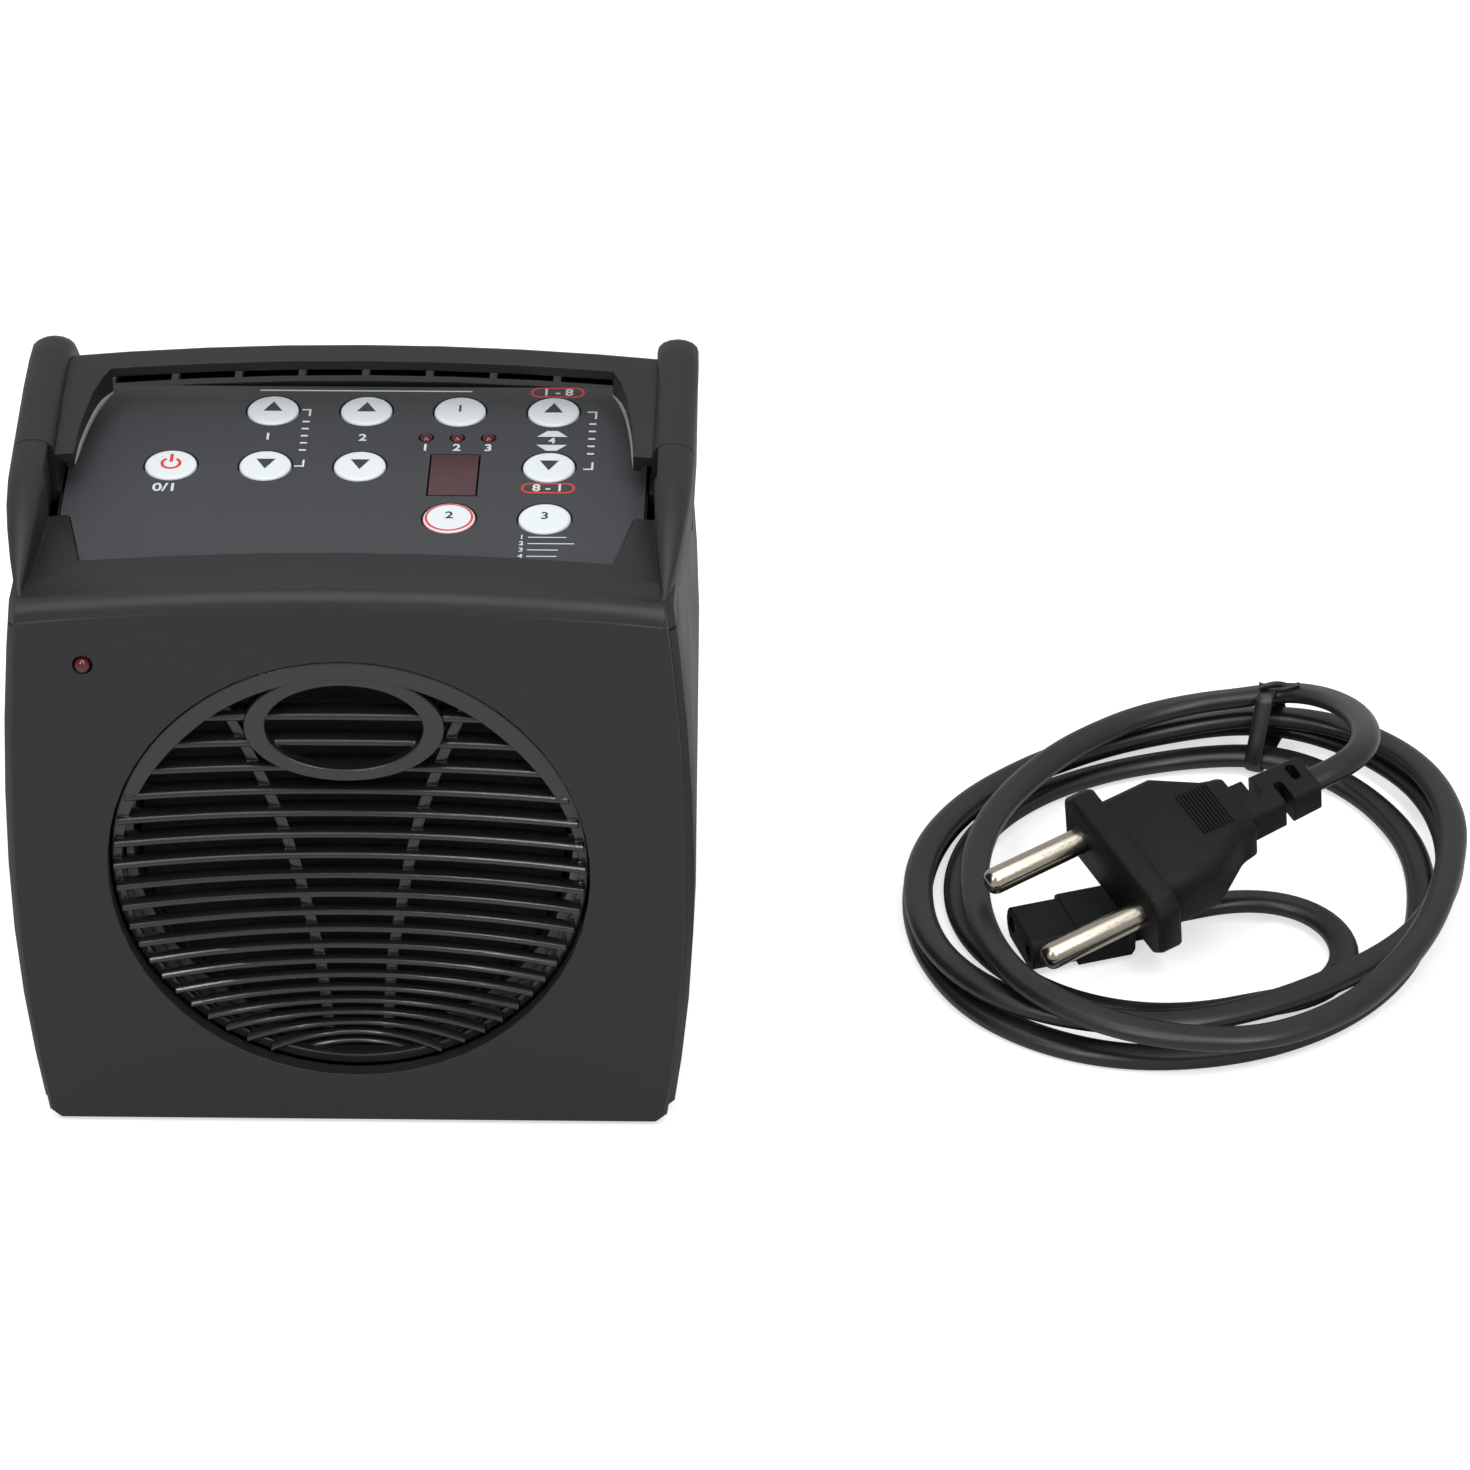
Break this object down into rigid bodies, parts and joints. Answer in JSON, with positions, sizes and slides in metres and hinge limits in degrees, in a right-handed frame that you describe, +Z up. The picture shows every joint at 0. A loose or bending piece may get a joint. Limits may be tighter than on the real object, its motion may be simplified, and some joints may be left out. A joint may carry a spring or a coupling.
{
  "type": "electronic tanpura",
  "caption": "Compact electronic drone box with a round bowed speaker grille, sprung keys under a rear carrying bridge, side rails and a detached coiled mains lead.",
  "frame": {"origin": "centre of the housing's footprint, on the surface that the feet stand on", "axes": "+X to the right seen from the front, +Y towards the back, +Z up; the face with the speaker grille looks towards -Y"},
  "size_m": [0.2398, 0.117, 0.1055],
  "materials": {
    "shell_plastic": "fine spark-eroded grain, satin",
    "grille_plastic": "smooth satin",
    "basket_steel": "plated sheet",
    "cone_paper": "matt coated paper",
    "panel_print": "printed film, satin",
    "display_filter": "dark red filter",
    "module_plastic": "plain",
    "lamp_red": "clear red, unlit",
    "board_laminate": "lacquered laminate",
    "screw_steel": "zinc plated",
    "foot_rubber": "plain",
    "pin_nickel": "nickel plated, lightly worn",
    "socket_brass": "plain",
    "key_plastic": "printed cap, satin",
    "cord_jacket": "soft jacket, satin",
    "plug_plastic": "moulded, satin"
  },
  "bodies": {
    "housing": {"front_shell": "shell_plastic", "rear_shell": "shell_plastic", "speaker_grille": "grille_plastic", "speaker_basket": "basket_steel", "speaker_cone": "cone_paper", "speaker_magnet": "basket_steel", "control_panel": "panel_print", "display_window": "display_filter", "display_module": "module_plastic", "power_lamp": "lamp_red", "keypad_board": "board_laminate", "main_board": "board_laminate", "transformer": "basket_steel", "mains_inlet": "module_plastic", "lead_tie": "cord_jacket", "appliance_tail": "cord_jacket", "lead_coil": "cord_jacket", "plug_tail": "cord_jacket", "plug_body": "plug_plastic", "appliance_connector": "plug_plastic", "panel_lamp_1": "lamp_red", "panel_lamp_2": "lamp_red", "panel_lamp_3": "lamp_red", "speaker_screw_1": "screw_steel", "case_screw_1": "screw_steel", "rubber_foot_1": "foot_rubber", "speaker_screw_2": "screw_steel", "case_screw_2": "screw_steel", "rubber_foot_2": "foot_rubber", "speaker_screw_3": "screw_steel", "case_screw_3": "screw_steel", "rubber_foot_3": "foot_rubber", "speaker_screw_4": "screw_steel", "case_screw_4": "screw_steel", "rubber_foot_4": "foot_rubber", "inlet_pin_1": "pin_nickel", "plug_pin_1": "pin_nickel", "connector_socket_1": "socket_brass", "inlet_pin_2": "pin_nickel", "plug_pin_2": "pin_nickel", "connector_socket_2": "socket_brass"},
    "power_key": {"power_key": "key_plastic"},
    "volume_up_key": {"volume_up_key": "key_plastic"},
    "volume_down_key": {"volume_down_key": "key_plastic"},
    "tone_up_key": {"tone_up_key": "key_plastic"},
    "tone_down_key": {"tone_down_key": "key_plastic"},
    "note_key": {"note_key": "key_plastic"},
    "pitch_up_key": {"pitch_up_key": "key_plastic"},
    "pitch_down_key": {"pitch_down_key": "key_plastic"},
    "memory_key": {"memory_key": "key_plastic"},
    "mode_key": {"mode_key": "key_plastic"}
  },
  "joints": [
    {"name": "power_key_press", "type": "slide", "parent": "housing", "child": "power_key", "axis": [0, 0.0175, -0.9998], "range_m": [0, 0.0004], "stiffness_N_per_m": 400, "springref_m": -0.0005},
    {"name": "volume_up_key_press", "type": "slide", "parent": "housing", "child": "volume_up_key", "axis": [0, 0.0175, -0.9998], "range_m": [0, 0.0004], "stiffness_N_per_m": 400, "springref_m": -0.0005},
    {"name": "volume_down_key_press", "type": "slide", "parent": "housing", "child": "volume_down_key", "axis": [0, 0.0175, -0.9998], "range_m": [0, 0.0004], "stiffness_N_per_m": 400, "springref_m": -0.0005},
    {"name": "tone_up_key_press", "type": "slide", "parent": "housing", "child": "tone_up_key", "axis": [0, 0.0175, -0.9998], "range_m": [0, 0.0004], "stiffness_N_per_m": 400, "springref_m": -0.0005},
    {"name": "tone_down_key_press", "type": "slide", "parent": "housing", "child": "tone_down_key", "axis": [0, 0.0175, -0.9998], "range_m": [0, 0.0004], "stiffness_N_per_m": 400, "springref_m": -0.0005},
    {"name": "note_key_press", "type": "slide", "parent": "housing", "child": "note_key", "axis": [0, 0.0175, -0.9998], "range_m": [0, 0.0004], "stiffness_N_per_m": 400, "springref_m": -0.0005},
    {"name": "pitch_up_key_press", "type": "slide", "parent": "housing", "child": "pitch_up_key", "axis": [0, 0.0175, -0.9998], "range_m": [0, 0.0004], "stiffness_N_per_m": 400, "springref_m": -0.0005},
    {"name": "pitch_down_key_press", "type": "slide", "parent": "housing", "child": "pitch_down_key", "axis": [0, 0.0175, -0.9998], "range_m": [0, 0.0004], "stiffness_N_per_m": 400, "springref_m": -0.0005},
    {"name": "memory_key_press", "type": "slide", "parent": "housing", "child": "memory_key", "axis": [0, 0.0175, -0.9998], "range_m": [0, 0.0004], "stiffness_N_per_m": 400, "springref_m": -0.0005},
    {"name": "mode_key_press", "type": "slide", "parent": "housing", "child": "mode_key", "axis": [0, 0.0175, -0.9998], "range_m": [0, 0.0004], "stiffness_N_per_m": 400, "springref_m": -0.0005}
  ]
}
